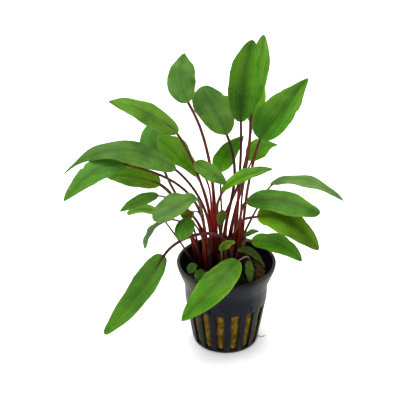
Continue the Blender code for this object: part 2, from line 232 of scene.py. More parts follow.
def black_plastic():
    material, tree, shader, place = open_material("black_plastic", 0.42, 0.09)
    mottled = cloudy(tree, place, 70.0, 4.0, 0.6)
    colour = paint_over(tree, mottled, PLASTIC_DARK, PLASTIC_PALE)
    dust, specks = grime(tree, place, 0.05)
    colour = paint_over(tree, dust, colour, POT_DUST)
    split = tree.nodes.new("ShaderNodeSeparateXYZ")
    tree.links.new(place, split.inputs[0])
    # Painted reflection: the left and right sides, as seen from the front, take a paler olive-grey, as if
    # reflecting the white room.
    side_reflection = ease(tree, sums(tree, "ABSOLUTE", split.outputs["X"]), 0.012, 0.024, 0.0, 0.75)
    side_reflection = sums(tree, "MULTIPLY", side_reflection, ease(tree, mottled, 0.25, 0.65))
    inside = attribute(tree, "inside", "Fac")
    side_reflection = sums(tree, "MULTIPLY", side_reflection, sums(tree, "SUBTRACT", 1.0, inside))
    colour = paint_over(tree, side_reflection, colour, SIDE_REFLECTION_OLIVE)
    # Painted shade: the inner wall, marked inside, is painted near-black.
    colour = paint_over(tree, sums(tree, "MULTIPLY", inside, 0.85), colour, INNER_WALL_SHADE)
    # Painted reflection of the table: the lowest 12 mm of the pot turn a paler brown.
    foot_reflection = ease(tree, split.outputs["Z"], 0.0, 0.012, 0.35, 0.0)
    colour = paint_over(tree, sums(tree, "MULTIPLY", foot_reflection, mottled), colour, FOOT_REFLECTION)
    wire(tree, colour, shader.inputs["Base Color"])
    scuffs = cloudy(tree, stretched(tree, place, (1.0, 1.0, 0.15)), 900.0, 3.0, 0.6)
    wire(tree, ease(tree, scuffs, 0.3, 0.7, 0.34, 0.52), shader.inputs["Roughness"])
    skin = sums(tree, "MULTIPLY_ADD", cloudy(tree, place, 1500.0, 2.0), 0.6, scuffs)
    wire(tree, raised(tree, sums(tree, "ADD", skin, specks), 0.10, 0.0002), shader.inputs["Normal"])
    return material


pot_wall = ((0.0, FLOOR_THICKNESS), (FLOOR_RING, FLOOR_THICKNESS), *reversed(POT_OUTLINE),
            (FLOOR_RING, 0.0), (0.0, 0.0))
pot_mesh = turn_on_lathe(pot_wall, POT_FACETS)
pot = put_down("moulded_pot", pot_mesh, black_plastic(), "black_plastic", "pot", crease=POT_SHARP_ANGLE)
openings_mesh = bmesh.new()
for number in range(SLOTS):
    wedge(openings_mesh, SLOT_INNER, SLOT_OUTER, SLOT_HALF_ANGLE, SLOT_LOW, SLOT_HIGH,
          SLOT_TURN + number * math.tau / SLOTS)
for number in range(DRAINS):
    wedge(openings_mesh, DRAIN_INNER, DRAIN_OUTER, DRAIN_HALF_ANGLE, -FLOOR_THICKNESS, 2 * FLOOR_THICKNESS,
          number * math.tau / DRAINS)
# The two edges that run outwards over each slot are rounded, and with them its upper corners.
slot_tops = [edge for edge in openings_mesh.edges
             if abs(edge.verts[0].co.z - edge.verts[1].co.z) < 1e-6 and edge.verts[0].co.z > 20 * MM
             and abs(edge.verts[0].co.length - edge.verts[1].co.length) > 5 * MM]
bmesh.ops.bevel(openings_mesh, geom=slot_tops, offset=SLOT_CORNER * MM, offset_type="OFFSET", segments=3,
                profile=0.5, affect="EDGES", material=-1)
for bearing, middle, length in NICKS:
    wedge(openings_mesh, NICK_INNER, SLOT_OUTER, NICK_HALF_ANGLE, middle - length / 2, middle + length / 2,
          math.radians(bearing))
bmesh.ops.recalc_face_normals(openings_mesh, faces=openings_mesh.faces)
cutter_data = bpy.data.meshes.new("pot_openings")
openings_mesh.to_mesh(cutter_data)
openings_mesh.free()
cutter = bpy.data.objects.new("pot_openings", cutter_data)
scene.collection.objects.link(cutter)
cut = pot.modifiers.new("Openings", "BOOLEAN")
cut.operation = "DIFFERENCE"
cut.solver = "EXACT"
cut.object = cutter
soft_edges = pot.modifiers.new("Soft edges", "BEVEL")
soft_edges.width = POT_EDGE_SOFTNESS * MM
soft_edges.segments = 2
soft_edges.limit_method = "ANGLE"
soft_edges.angle_limit = math.radians(POT_EDGE_ANGLE)
soft_edges.harden_normals = False
bpy.context.view_layer.update()
cut_mesh = bpy.data.meshes.new_from_object(pot.evaluated_get(bpy.context.evaluated_depsgraph_get()))
pot.modifiers.clear()
pot.data = cut_mesh
cut_mesh.shade_smooth()
cut_mesh.set_sharp_from_angle(angle=math.radians(POT_SHARP_ANGLE))
# Mark the inner wall between the shoulder and the lip, which the material paints near-black as shade.
inner_wall_shade = cut_mesh.attributes.new("inside", "FLOAT", "POINT")
for vert, mark in zip(cut_mesh.vertices, inner_wall_shade.data):
    outward = vert.normal.x * vert.co.x + vert.normal.y * vert.co.y
    upper = SHOULDER_HEIGHT * MM < vert.co.z < LIP_INNER_EDGE * MM
    mark.value = 1.0 if outward < 0 and upper else 0.0
bpy.data.objects.remove(cutter)


# The rock wool. A plug of coarse matted mineral fibre, pressed into the pot so that it bulges a little into
# each slot. Its top is painted near-black as shade, and hollowed where the plants were pushed in.

WOOL_FOOT, WOOL_TOP = 1.8, 41.0
# The plug's outline, as radius and height, from its foot up the side and over its top.
WOOL_OUTLINE = (
    (16.2, 1.8), (16.8, 3.0), (17.3, 6.0), (19.1, 16.0), (20.7, 26.0), (20.9, 31.0), (21.2, 35.5),
    (22.0, 38.3), (22.2, 39.6), (21.0, 40.3), (17.0, 40.6), (11.0, 40.8), (5.0, 40.9),
)
WOOL_FACETS = 256
# The side lies past this radius and below this height, and the top above the brim.
WOOL_SIDE_RADIUS, WOOL_SIDE_HEIGHT, WOOL_BRIM = 14.0, 36.0, 38.0
WOOL_BULGE = 0.75
WOOL_FUZZ = 0.22
WOOL_SQUEEZE, WOOL_SINK = 0.12, 0.2
FIBRE_DARK, FIBRE_PALE = (0.07, 0.042, 0.006), (0.24, 0.155, 0.018)
HOLLOW_SHADE = (0.022, 0.014, 0.002)
TOP_SHADE_DARK, TOP_SHADE_PALE = (0.003, 0.003, 0.002), (0.016, 0.018, 0.006)
LEAF_LITTER = (0.080, 0.036, 0.010)


def rock_wool():
    material, tree, shader, place = open_material("rock_wool", 0.95, 0.04)
    fibres = cloudy(tree, stretched(tree, place, (1.0, 1.0, 0.35)), 900.0, 6.0, 0.7)
    lumps = cloudy(tree, place, 230.0, 4.0, 0.6)
    colour = paint_over(tree, ease(tree, fibres, 0.35, 0.68), FIBRE_DARK, FIBRE_PALE)
    # Painted shade: the wool darkens where its lumps dip.
    colour = paint_over(tree, ease(tree, lumps, 0.38, 0.62, 0.6, 0.0), colour, HOLLOW_SHADE)
    split = tree.nodes.new("ShaderNodeSeparateXYZ")
    tree.links.new(place, split.inputs[0])
    # Painted shade: above 30 mm the wool turns near-black, mottled with a dark olive.
    top_shade = ease(tree, split.outputs["Z"], 0.030, 0.0385)
    shaded_top = paint_over(tree, ease(tree, lumps, 0.40, 0.66), TOP_SHADE_DARK, TOP_SHADE_PALE)
    colour = paint_over(tree, top_shade, colour, shaded_top)
    litter = sums(tree, "MULTIPLY", ease(tree, split.outputs["X"], 0.0150, 0.0185), top_shade)
    litter = sums(tree, "MULTIPLY", litter, ease(tree, fibres, 0.42, 0.58))
    colour = paint_over(tree, litter, colour, LEAF_LITTER)
    wire(tree, colour, shader.inputs["Base Color"])
    loose = sums(tree, "MULTIPLY_ADD", lumps, 1.5, fibres)
    wire(tree, raised(tree, loose, 0.8, 0.0007), shader.inputs["Normal"])
    return material


wool = turn_on_lathe(((0.0, WOOL_FOOT), *WOOL_OUTLINE, (0.0, WOOL_TOP)), WOOL_FACETS)
for vert in wool.verts:
    radius = math.hypot(vert.co.x, vert.co.y)
    bearing = math.atan2(vert.co.x, -vert.co.y)
    fuzz = noise.fractal(vert.co * 900, 1.0, 2.0, 4) * WOOL_FUZZ * MM
    if radius > WOOL_SIDE_RADIUS * MM and vert.co.z < WOOL_SIDE_HEIGHT * MM:
        bulge = max(0.0, math.cos(SLOTS * (bearing - SLOT_TURN))) ** 0.7 * WOOL_BULGE * MM
        grow = 1 + (bulge + fuzz - WOOL_SQUEEZE * MM) / radius
        vert.co.x *= grow
        vert.co.y *= grow
    if vert.co.z > WOOL_BRIM * MM:
        vert.co.z += fuzz * 2.2 - WOOL_SINK * MM
put_down("wool_plug", wool, rock_wool(), "rock_wool", "rock_wool")


# The rootstocks. Two short, knobbly lengths of woody root set in the wool, ringed with the scars of
# old leaves. Every stalk grows out of one of them.

# Each rootstock's place, x and y, and its radius.
CROWNS = {"crown_left": (-8.0, 0.0, 7.2), "crown_right": (6.0, 0.0, 5.8)}
CROWN_MIDDLE = 39.5
CROWN_HALF_HEIGHT = 3.0
SCAR_RING_DEPTH = 0.05
KNOB_DEPTH = 0.16
BARK_DARK, BARK_PALE = (0.012, 0.004, 0.002), (0.11, 0.035, 0.014)


def rootstock():
    material, tree, shader, place = open_material("rootstock", 0.8, 0.25)
    rings = cloudy(tree, stretched(tree, place, (1.0, 1.0, 4.0)), 420.0, 5.0, 0.65)
    wire(tree, paint_over(tree, rings, BARK_DARK, BARK_PALE), shader.inputs["Base Color"])
    wire(tree, raised(tree, rings, 0.7, 0.0006), shader.inputs["Normal"])
    return material


bark = rootstock()
for name, (x, y, radius) in CROWNS.items():
    knob = bmesh.new()
    bmesh.ops.create_icosphere(knob, subdivisions=5, radius=1.0)
    for vert in knob.verts:
        rings = SCAR_RING_DEPTH * math.sin(vert.co.z * 14)
        vert.co *= 0.93 + rings + KNOB_DEPTH * noise.fractal(vert.co * 2.6, 1.0, 2.0, 3)
    bmesh.ops.scale(knob, vec=(radius * MM, radius * 0.96 * MM, CROWN_HALF_HEIGHT * MM), verts=knob.verts)
    bmesh.ops.translate(knob, vec=Vector((x, y, CROWN_MIDDLE)) * MM, verts=knob.verts)
    put_down(name + "_knob", knob, bark, "rootstock", name)


# The large leaves. Twenty lance-shaped blades, each a thin skin with a sunken midrib, long side
# veins and a softly waved margin. Each grows from the end of its own fleshy red stalk, which wraps
# its neighbours as a flat sheath at the foot and runs on under the blade as a keel.

# A stalk runs from root (x, y) on a rootstock through bend to base, and the midrib from base
# through middle to tip. faces is where the upper side looks: degrees round from the front towards
# the right, and degrees above level. fold lifts the two halves, or drops them where it is below 0.
# widest is where the blade is widest, as a share of its length, and narrowing draws its base in.
# knees are more points of the stalk, between its root and its bend.
Leaf = namedtuple("Leaf", "name root bend base middle tip width faces fold widest narrowing knees",
                  defaults=(0.5, ()))
LEAVES = (
    Leaf("01", (-10, 2.2), (-16.4, 0, 91.2), (-26.5, -2, 106.5), (-56.8, -8.5, 121), (-84.6, -10, 107.8), 13,
         (0, 60), -10, 0.42, knees=((-9, 0.6, 70.4),)),
    Leaf("02", (-12.3, 1.2), (-21.6, -2, 93.2), (-51.8, -6, 111.5), (-67.8, -15.3, 112.7), (-84, -24, 99.3),
         12.5, (0, 50), -8, 0.42, knees=((-11.8, -0.9, 69.6),)),
    Leaf("03", (-13.6, 2.8), (-23.6, -3, 80.4), (-35.2, -4, 98.7), (-50, -3, 102.3), (-64, -2, 102), 12.5,
         (0, 50), 8, 0.40),
    Leaf("04", (-6.7, 3.6), (-15.7, 2.6, 101.4), (-25.5, 2, 125.3), (-42.4, 0, 138.8), (-60.7, -4, 146.1), 13,
         (-20, 55), -10, 0.40, knees=((-8.8, 3.2, 73.5),)),
    Leaf("05", (-11.5, 5.2), (-22.3, 6, 79), (-34, 13, 99.5), (-38, 15, 112), (-36, 19, 126), 17,
         (0, 35), 5, 0.45, knees=((-13.7, 3, 67.6),)),
    Leaf("06", (-9, 5.7), (-12.6, 5.8, 90.4), (-15.8, 5, 98.3), (-25.6, 7, 109), (-36.5, 10, 118), 14,
         (0, 45), 5, 0.45, knees=((-8.8, 5.8, 73),)),
    Leaf("07", (-6.5, 6.2), (-8.6, 10, 99.5), (-20.4, 14, 137), (-24.6, 25, 147), (-22.4, 38, 154.6), 15,
         (0, 50), 12, 0.38),
    Leaf("08", (2.2, 4.0), (3.9, 7.5, 92.2), (0, 12, 119.7), (-7.8, 27, 128.2), (-14, 43, 132.6), 20,
         (0, 60), 8, 0.47, 0.55, ((-0.4, 3.5, 68.6),)),
    Leaf("09", (3.8, 2.4), (7, 6.2, 106.5), (7, 9, 128), (8.5, 13, 151), (13, 20, 169.5), 16,
         (0, 12), 8, 0.47, knees=((5.7, 3.9, 77.7),)),
    Leaf("10", (3.9, 5.3), (9.2, 8.5, 96.5), (12.2, 18, 132), (16, 24, 151), (18.7, 28, 169), 11.5,
         (0, 12), 8, 0.45, knees=((2.8, 6, 67.5),)),
    Leaf("11", (0.7, 1.7), (5.3, 12, 86.1), (13.3, 22, 121.5), (15.5, 29, 133), (17, 38, 145), 10.5,
         (0, 20), 8, 0.42, knees=((-2.7, 5, 68.4),)),
    Leaf("12", (6.6, 2.7), (11.6, 7, 92.5), (17, 9, 118), (29, 14, 133), (42, 20, 148), 15.2,
         (10, 30), 10, 0.38, knees=((8.8, 3, 69.5),)),
    Leaf("13", (1.4, -0.6), (-5.2, -2.5, 82.8), (-3.2, -6, 95.2), (9, -9, 106), (23, -13, 112.3), 7,
         (-10, 60), 0, 0.45, 0.7, ((-3.4, -0.8, 68.6),)),
    Leaf("14", (8.6, 1.2), (18.4, 5, 83.3), (22.8, 6, 93.4), (42, 2, 97.6), (61.5, -4, 88.6), 11,
         (0, 88), -5, 0.45, 0.68, ((8.6, 0.4, 61.5), (12.8, 3.5, 72))),
    Leaf("15", (6.2, 0.5), (6.8, -1.5, 74), (10, -3, 87.8), (30, -9, 91.2), (48.2, -15, 87), 13.4,
         (5, 65), -8, 0.48, 0.42),
    Leaf("16", (4, 0.2), (8.1, -5, 77), (15.5, -7, 80.7), (32.3, -13, 81), (48.2, -18, 66.8), 15.2,
         (0, 60), -12, 0.45, knees=((3.8, -2, 65.6),)),
    Leaf("17", (8.4, -1.2), (8.7, -2.5, 60), (13, -3, 63), (27, -7, 64), (40, -12, 56), 11,
         (5, 65), -8, 0.42),
    Leaf("18", (9.6, -3.3), (12, -9, 56), (6, -14, 58), (-8, -32, 52), (-24, -37, 34.6), 16,
         (-15, 40), -5, 0.42),
    Leaf("19", (2.3, -2.9), (-19.6, -13, 72), (-33.6, -14, 61), (-47, -22, 42), (-65.3, -32, 22.8), 12.3,
         (-15, 40), 0, 0.45, 0.38, ((-2.6, -8, 68.4),)),
    Leaf("20", (-9.2, -1.5), (-12.4, -5, 76.7), (-16, -8, 93), (-27, -17, 92.3), (-38, -26, 89), 14.5,
         (-10, 70), 0, 0.50),
)

# How much narrower than the plain outline a blade's left and right half are at its base and tip, as
# seen from the stalk with the upper side up (wider where below 0), and the nicks and bays in its
# margins: place along the blade, side, depth as a share of the half, and half length.
Trim = namedtuple("Trim", "left_base left_tip right_base right_tip", defaults=(0.0, 0.0, 0.0, 0.0))
TRIMS = {
    "01": Trim(left_base=-0.40, left_tip=0.50),
    "03": Trim(left_base=0.08, left_tip=0.08),
    "04": Trim(left_tip=0.04, right_base=0.08),
    "05": Trim(right_base=-0.30, right_tip=-0.10),
    "06": Trim(left_base=0.60, right_base=0.28, right_tip=-0.40),
    "07": Trim(left_base=-0.10, left_tip=0.22, right_base=0.05, right_tip=-0.28),
    "12": Trim(left_base=-0.50, left_tip=-0.08),
    "13": Trim(left_base=-0.40, left_tip=-0.20, right_base=0.30),
    "14": Trim(left_base=-0.05, left_tip=0.05),
    "15": Trim(left_base=-0.28, left_tip=0.12, right_tip=-0.30),
    "16": Trim(left_base=-0.50, right_tip=-0.08),
    "17": Trim(left_base=-0.15, left_tip=-0.40),
    "19": Trim(right_base=-0.30, right_tip=-0.05),
    "20": Trim(left_base=0.40, right_base=-0.32, right_tip=-0.10),
}
NOTCHES = {
    "02": ((0.60, 1, 0.16, 0.02),),
    "08": ((0.42, 1, 0.10, 0.03), (0.62, 1, 0.12, 0.05)),
    "12": ((0.58, 1, 0.10, 0.04),),
    "17": ((0.25, -1, 0.14, 0.04), (0.66, -1, 0.10, 0.04)),
    "20": ((0.15, 1, 0.28, 0.05),),
}

# The blade's colour at its base and at its tip (linear), how much darker its right half is than its left (the
# left than the right where below 0), how yellow its rim is, how brown its very tip is, and how dark a broad
# band along its middle is. Besides each leaf's own colour, these carry painted light and shade: blades that
# others shade are painted brighter, and the darker half is painted shade.
Paint = namedtuple("Paint", "base tip lean rim burn band", defaults=(0.0, 0.0, 0.0, 0.0))
PAINTS = {
    "01": Paint((0.050, 0.122, 0.018), (0.036, 0.102, 0.018), lean=0.1, burn=0.8),
    "02": Paint((0.066, 0.210, 0.022), (0.056, 0.165, 0.018), lean=-0.1),
    "03": Paint((0.090, 0.185, 0.001), (0.062, 0.190, 0.006), lean=-0.1),
    "04": Paint((0.050, 0.110, 0.010), (0.062, 0.165, 0.014), lean=-0.1, rim=0.1, burn=0.9),
    "05": Paint((0.105, 0.270, 0.046), (0.100, 0.255, 0.042), lean=0.1),
    "06": Paint((0.066, 0.185, 0.001), (0.054, 0.160, 0.008)),
    "07": Paint((0.033, 0.095, 0.014), (0.036, 0.110, 0.012), lean=0.1),
    "08": Paint((0.020, 0.064, 0.001), (0.028, 0.090, 0.006)),
    "09": Paint((0.026, 0.115, 0.001), (0.048, 0.170, 0.009), lean=-0.35, band=0.45),
    "10": Paint((0.080, 0.255, 0.012), (0.122, 0.285, 0.026)),
    "11": Paint((0.135, 0.320, 0.014), (0.135, 0.320, 0.014)),
    "12": Paint((0.040, 0.170, 0.006), (0.080, 0.225, 0.014), lean=-0.35, rim=0.2, band=0.2),
    "13": Paint((0.088, 0.245, 0.004), (0.050, 0.135, 0.012), burn=0.5),
    "14": Paint((0.064, 0.131, 0.024), (0.062, 0.120, 0.030), lean=-0.15),
    "15": Paint((0.022, 0.092, 0.004), (0.028, 0.108, 0.004), rim=0.2, band=0.35),
    "16": Paint((0.140, 0.330, 0.001), (0.060, 0.130, 0.001), lean=0.25, rim=0.1, burn=0.7, band=0.40),
    "17": Paint((0.048, 0.180, 0.001), (0.056, 0.190, 0.006)),
    "18": Paint((0.026, 0.100, 0.002), (0.048, 0.172, 0.005), rim=0.4, band=0.15),
    "19": Paint((0.042, 0.135, 0.014), (0.043, 0.138, 0.011), lean=0.15, rim=0.2),
    "20": Paint((0.054, 0.122, 0.022), (0.064, 0.140, 0.028)),
}
RIM_YELLOW = (0.170, 0.300, 0.015)
TIP_BROWN = (0.055, 0.028, 0.010)

# A stalk's colour low down and near its blade, and the stalks that differ from the usual red.
STALK_RED = (0.260, 0.010, 0.006)
STALK_BROWN = (0.085, 0.018, 0.010)
STALK_FOOT_SHADE = (0.014, 0.003, 0.002)
STALK_PAINTS = {
    "08": ((0.200, 0.010, 0.006), (0.030, 0.006, 0.005)),
    "09": ((0.200, 0.010, 0.006), (0.022, 0.005, 0.005)),
    "14": ((0.080, 0.030, 0.010), (0.085, 0.080, 0.016)),
    "17": ((0.110, 0.050, 0.020), (0.150, 0.140, 0.060)),
    "18": ((0.240, 0.110, 0.070), (0.460, 0.320, 0.250)),
    "19": ((0.070, 0.010, 0.006), (0.070, 0.014, 0.009)),
    "20": ((0.120, 0.020, 0.008), (0.150, 0.110, 0.040)),
}
# The sheath is painted near-black as shade where it stands in the pot, from the first height up to the
# second.
FOOT_SHADE_FROM, FOOT_SHADE_TO = 46, 80

# How thick some stalks are beside the usual ones, how slim some feet are, how much a tip is drawn
# out, and how high the margin's waves are.
STOUT = {"03": 1.25, "06": 0.8, "07": 1.1, "08": 1.1, "10": 1.1, "14": 0.8, "18": 0.62, "19": 1.15}
SLIM_FEET = {"16": 0.7, "18": 0.6, "19": 0.45}
DRAWN_TIPS = {"01": 0.50}
USUAL_DRAWN_TIP = 0.12
WAVES = {"03": 0.9, "08": 0.9, "12": 0.8, "16": 0.8, "18": 0.7, "19": 0.7}
USUAL_WAVE = 0.5

BLADE_SKIN = 0.42
BLADE_ROWS, BLADE_COLUMNS = 48, 20
LEAF_SHARP_ANGLE = 75
MARGIN_SWAYS, MARGIN_RAGS = 0.05, 0.03
MIDRIB_GROOVE, MIDRIB_HALF_WIDTH = 0.30, 0.75
RIB_HEIGHT = 0.07
LUMP_HEIGHT = 0.45
STALK_FOOT = 41.6
STALK_HALF_WIDTH, FOOT_HALF_WIDTH = 0.70, 1.30
SHEATH_SPREAD = 1.5
STALK_SWAY = 0.3
STALK_SIDES = 12
STALK_RINGS, KEEL_RINGS = 26, 16
STALK_SMOOTHINGS = 3
KEEL_REACH = 0.85
KEEL_END = 0.10
STALK_UNDER_BLADE, KEEL_UNDER_BLADE = 0.42, 0.12


def through(points, share):
    """The point and the direction of the smooth curve through all the points, share of the way along."""
    def place(at):
        summed = Vector((0, 0, 0))
        for number, point in enumerate(points):
            others = [other for other in range(len(points)) if other != number]
            reach = at * (len(points) - 1)
            summed += point * math.prod((reach - other) / (number - other) for other in others)
        return summed
    return place(share), (place(share + 0.001) - place(share - 0.001)).normalized()


def looking(faces):
    bearing, lift = (math.radians(angle) for angle in faces)
    level = math.cos(lift)
    return Vector((math.sin(bearing) * level, -math.cos(bearing) * level, math.sin(lift)))


def midrib_frame(leaf, share):
    """A point of the midrib, with the directions along it, across the blade and out of its upper side."""
    midrib = [Vector(point) for point in (leaf.base, leaf.middle, leaf.tip)]
    point, direction = through(midrib, share)
    side = direction.cross(looking(leaf.faces)).normalized()
    return point, direction, side, side.cross(direction)


def rise(value, low, high):
    share = min(1.0, max(0.0, (value - low) / (high - low)))
    return share * share * (3 - 2 * share)


def blend(first, second, share):
    return [a + (b - a) * share for a, b in zip(first, second)]


def half_width(leaf, along):
    """Half the blade's width: a rounded base, the widest place, then a taper to the drawn-out tip."""
    taper = leaf.narrowing * (1 - leaf.widest) / leaf.widest
    share = (along / leaf.widest) ** leaf.narrowing * ((1 - along) / (1 - leaf.widest)) ** taper
    drawn = 1 - DRAWN_TIPS.get(leaf.name, USUAL_DRAWN_TIP) * rise(along, 0.68, 0.92)
    return max(leaf.width / 2 * share * drawn, 0.12)


def margin(trim, notches, along, across):
    """How far one half of the blade reaches, as a share of the plain outline."""
    if across < 0:
        share = 1 - trim.left_base - (trim.left_tip - trim.left_base) * rise(along, 0.15, 0.85)
    else:
        share = 1 - trim.right_base - (trim.right_tip - trim.right_base) * rise(along, 0.15, 0.85)
    for place, side, depth, half_length in notches:
        if across * side > 0:
            share -= depth * math.exp(-((along - place) / half_length) ** 2)
    return share


def blade_colour(paint, along, across, seed):
    """The blade's colour from base to tip, with one half darkened as painted shade, its darker middle, yellow
    rim and brown tip.
    """
    patch = noise.noise(Vector((seed, along * 5, across * 2)))
    colour = blend(paint.base, paint.tip, rise(along + 0.08 * patch, 0.12, 0.88))
    # Painted shade: one half of the blade is darkened.
    dark = 1 - abs(paint.lean) * rise(across * math.copysign(1, paint.lean), -0.25, 0.35)
    dark *= 1 - paint.band * (1 - rise(abs(across + 0.15 * patch), 0.12, 0.60))
    colour = [part * dark * (1 + 0.10 * patch) for part in colour]
    colour = blend(colour, RIM_YELLOW, paint.rim * rise(abs(across) + 0.1 * patch, 0.80, 1.0))
    return (*blend(colour, TIP_BROWN, paint.burn * rise(along, 0.93, 1.0)), 1.0)


def layers(bm):
    """The blade's pattern layers: colour, 1 on the lower skin, and 1 on the stalk."""
    kept = bm.verts.layers
    tint = kept.float_color.get("tint") or kept.float_color.new("tint")
    under = kept.float.get("under") or kept.float.new("under")
    stem = kept.float.get("stem") or kept.float.new("stem")
    return tint, under, stem


def spread_blade(bm, leaf, rows, columns, wave, paint, trim=Trim(), notches=()):
    """Bends a flat grid to the leaf's form, then gives it its lower skin and closes the edge."""
    seed = sum(leaf.tip)
    bm.loops.layers.uv.new("UVMap")
    tint, under, _ = layers(bm)
    upper = bmesh.ops.create_grid(bm, x_segments=columns, y_segments=rows, size=1.0, calc_uvs=True)["verts"]
    for vert in upper:
        across, even = vert.co.x, (vert.co.y + 1) / 2
        along = (even + (1 - math.cos(math.pi * even)) / 2) / 2
        point, direction, side, up = midrib_frame(leaf, along)
        reach = half_width(leaf, along) * margin(trim, notches, along, across)
        reach *= 1 + MARGIN_SWAYS * noise.noise(Vector((seed, along * 8, math.copysign(2, across))))
        reach *= 1 + MARGIN_RAGS * noise.noise(Vector((along * 22, seed, math.copysign(5, across))))
        fold = math.radians(leaf.fold)
        middle = math.exp(-((across * reach / MIDRIB_HALF_WIDTH) ** 2))
        groove = -MIDRIB_GROOVE * middle * (1 - along) ** 0.5
        between_ends = math.sin(math.pi * along)
        ribs = RIB_HEIGHT * math.cos(across * math.pi * 6) * (1 - across * across) * between_ends
        ripple = wave * across * across * math.sin(along * 15 + seed + 1.9 * across)
        lump = LUMP_HEIGHT * noise.noise(Vector((seed * 1.3, along * 4.5, across * 1.4))) * between_ends
        height = reach * math.sqrt(across * across + 0.003) * math.sin(fold) + groove + ribs
        height += (ripple + lump) * min(1.0, reach / 3)
        vert.co = (point + side * (reach * across * math.cos(fold)) + up * height) * MM
        vert[tint] = blade_colour(paint, along, across, seed)
    bmesh.ops.recalc_face_normals(bm, faces=bm.faces)
    bm.faces.ensure_lookup_table()
    if bm.faces[len(bm.faces) // 2].normal.dot(looking(leaf.faces)) < 0:
        bmesh.ops.reverse_faces(bm, faces=bm.faces)
    kept = set(upper)
    bmesh.ops.solidify(bm, geom=bm.faces[:], thickness=BLADE_SKIN * MM)
    for vert in bm.verts:
        vert[under] = 0.0 if vert in kept else 1.0


def stalk_course(leaf, foot, top):
    """The middle line of a stalk and of its keel under the blade, with its width, depth and sides."""
    seed = sum(leaf.tip)
    root = Vector((*leaf.root, STALK_FOOT))
    stalk = [root, *(Vector(knee) for knee in leaf.knees), Vector(leaf.bend), Vector(leaf.base)]
    hub = min(CROWNS.values(), key=lambda crown: abs(crown[0] - root.x))
    sheath = Vector((hub[1] - root.y, root.x - hub[0] + 0.3, 0)).normalized()
    course = []
    for ring in range(STALK_RINGS):
        share = ring / (STALK_RINGS - 1)
        point, _ = through(stalk, share)
        _, _, side, up = midrib_frame(leaf, 0.0)
        point = point - up * (BLADE_SKIN + STALK_UNDER_BLADE) * rise(share, 0.75, 1.0)
        sway = Vector((noise.noise(Vector((seed, share * 4, 0))),
                       noise.noise(Vector((0, seed, share * 4))), 0))
        point = point + sway * STALK_SWAY * math.sin(math.pi * share)
        wide = sheath.lerp(side if side.dot(sheath) > 0 else -side, rise(share, 0.1, 0.9))
        swell = 1 - rise(share, 0.0, 0.42)
        stout = top * (1 + 0.25 * (1 - share))
        half_side = stout + (foot * SHEATH_SPREAD - stout) * swell
        half_deep = stout + (foot - stout) * swell
        course.append((point, wide, half_side, half_deep, share))
    for ring in range(1, KEEL_RINGS + 1):
        along = KEEL_REACH * ring / KEEL_RINGS
        point, _, side, up = midrib_frame(leaf, along)
        size = top * (1 - along / KEEL_REACH) ** 0.8 + KEEL_END
        point = point - up * (MIDRIB_GROOVE * (1 - along) ** 0.5 + BLADE_SKIN + KEEL_UNDER_BLADE)
        course.append((point, side if side.dot(course[-1][1]) > 0 else -side, size, size * 0.8, 1 + along))
    return course


def next_ring(bm, ring, last, cap, sides):
    """Draws a tube's end on to the next ring, or starts the tube, and gives its new verts and cap."""
    if cap is None:
        made = bmesh.ops.create_circle(bm, cap_ends=True, radius=1.0, segments=sides, matrix=ring)["verts"]
        return made, list(made[0].link_faces)
    grown = bmesh.ops.extrude_face_region(bm, geom=cap)["geom"]
    made = [part for part in grown if isinstance(part, bmesh.types.BMVert)]
    bmesh.ops.transform(bm, matrix=ring @ last.inverted(), verts=made)
    return made, [part for part in grown if isinstance(part, bmesh.types.BMFace)]


def draw_stalk(bm, leaf, foot, top, colours):
    """Extrudes a capped ring from the foot in the rootstock to the far end of the keel."""
    tint, under, stem = layers(bm)
    low_colour, high_colour, green = colours
    course = stalk_course(leaf, foot, top)
    for _ in range(STALK_SMOOTHINGS):
        places = [here[0] for here in course]
        smoothed = [((before + here * 2 + after) / 4, *rest) for before, here, after, (_, *rest)
                    in zip(places, places[1:], places[2:], course[1:])]
        course = [course[0], *smoothed, course[-1]]
    cap, last = None, None
    for number, (point, wide, half_side, half_deep, share) in enumerate(course):
        before, after = course[max(number - 1, 0)][0], course[min(number + 1, len(course) - 1)][0]
        ahead = (after - before).normalized()
        side = (wide - ahead * wide.dot(ahead)).normalized()
        turn = Matrix((side * half_side * MM, ahead.cross(side) * half_deep * MM, ahead)).transposed()
        ring = Matrix.Translation(point * MM) @ turn.to_4x4()
        made, cap = next_ring(bm, ring, last, cap, STALK_SIDES)
        last = ring
        shade = blend(low_colour, high_colour, rise(share, 0.12, 0.75))
        # Painted shade: low in the pot the stalk darkens to near-black.
        shade = blend(STALK_FOOT_SHADE, shade, rise(point.z, FOOT_SHADE_FROM, FOOT_SHADE_TO))
        shade = blend(shade, green, rise(share, 1.0, 1.55) * 0.9)
        for vert in made:
            vert[tint] = (*shade, 1.0)
            vert[stem] = 1.0


LENGTHWAYS_VEINS, SLANTED_VEINS = 21.0, 120.0
STREAK_SHIFT = (20.0, 20.0, 20.0)


def shifted_map(group, into):
    """The blade's flat map, moved on by where the leaf is, so that no two leaves have the same streaks."""
    shift = group.nodes.new("ShaderNodeVectorMath")
    shift.operation = "MULTIPLY_ADD"
    group.links.new(into.outputs["Place"], shift.inputs[0])
    shift.inputs[1].default_value = STREAK_SHIFT
    group.links.new(into.outputs["Map"], shift.inputs[2])
    return shift.outputs["Vector"]


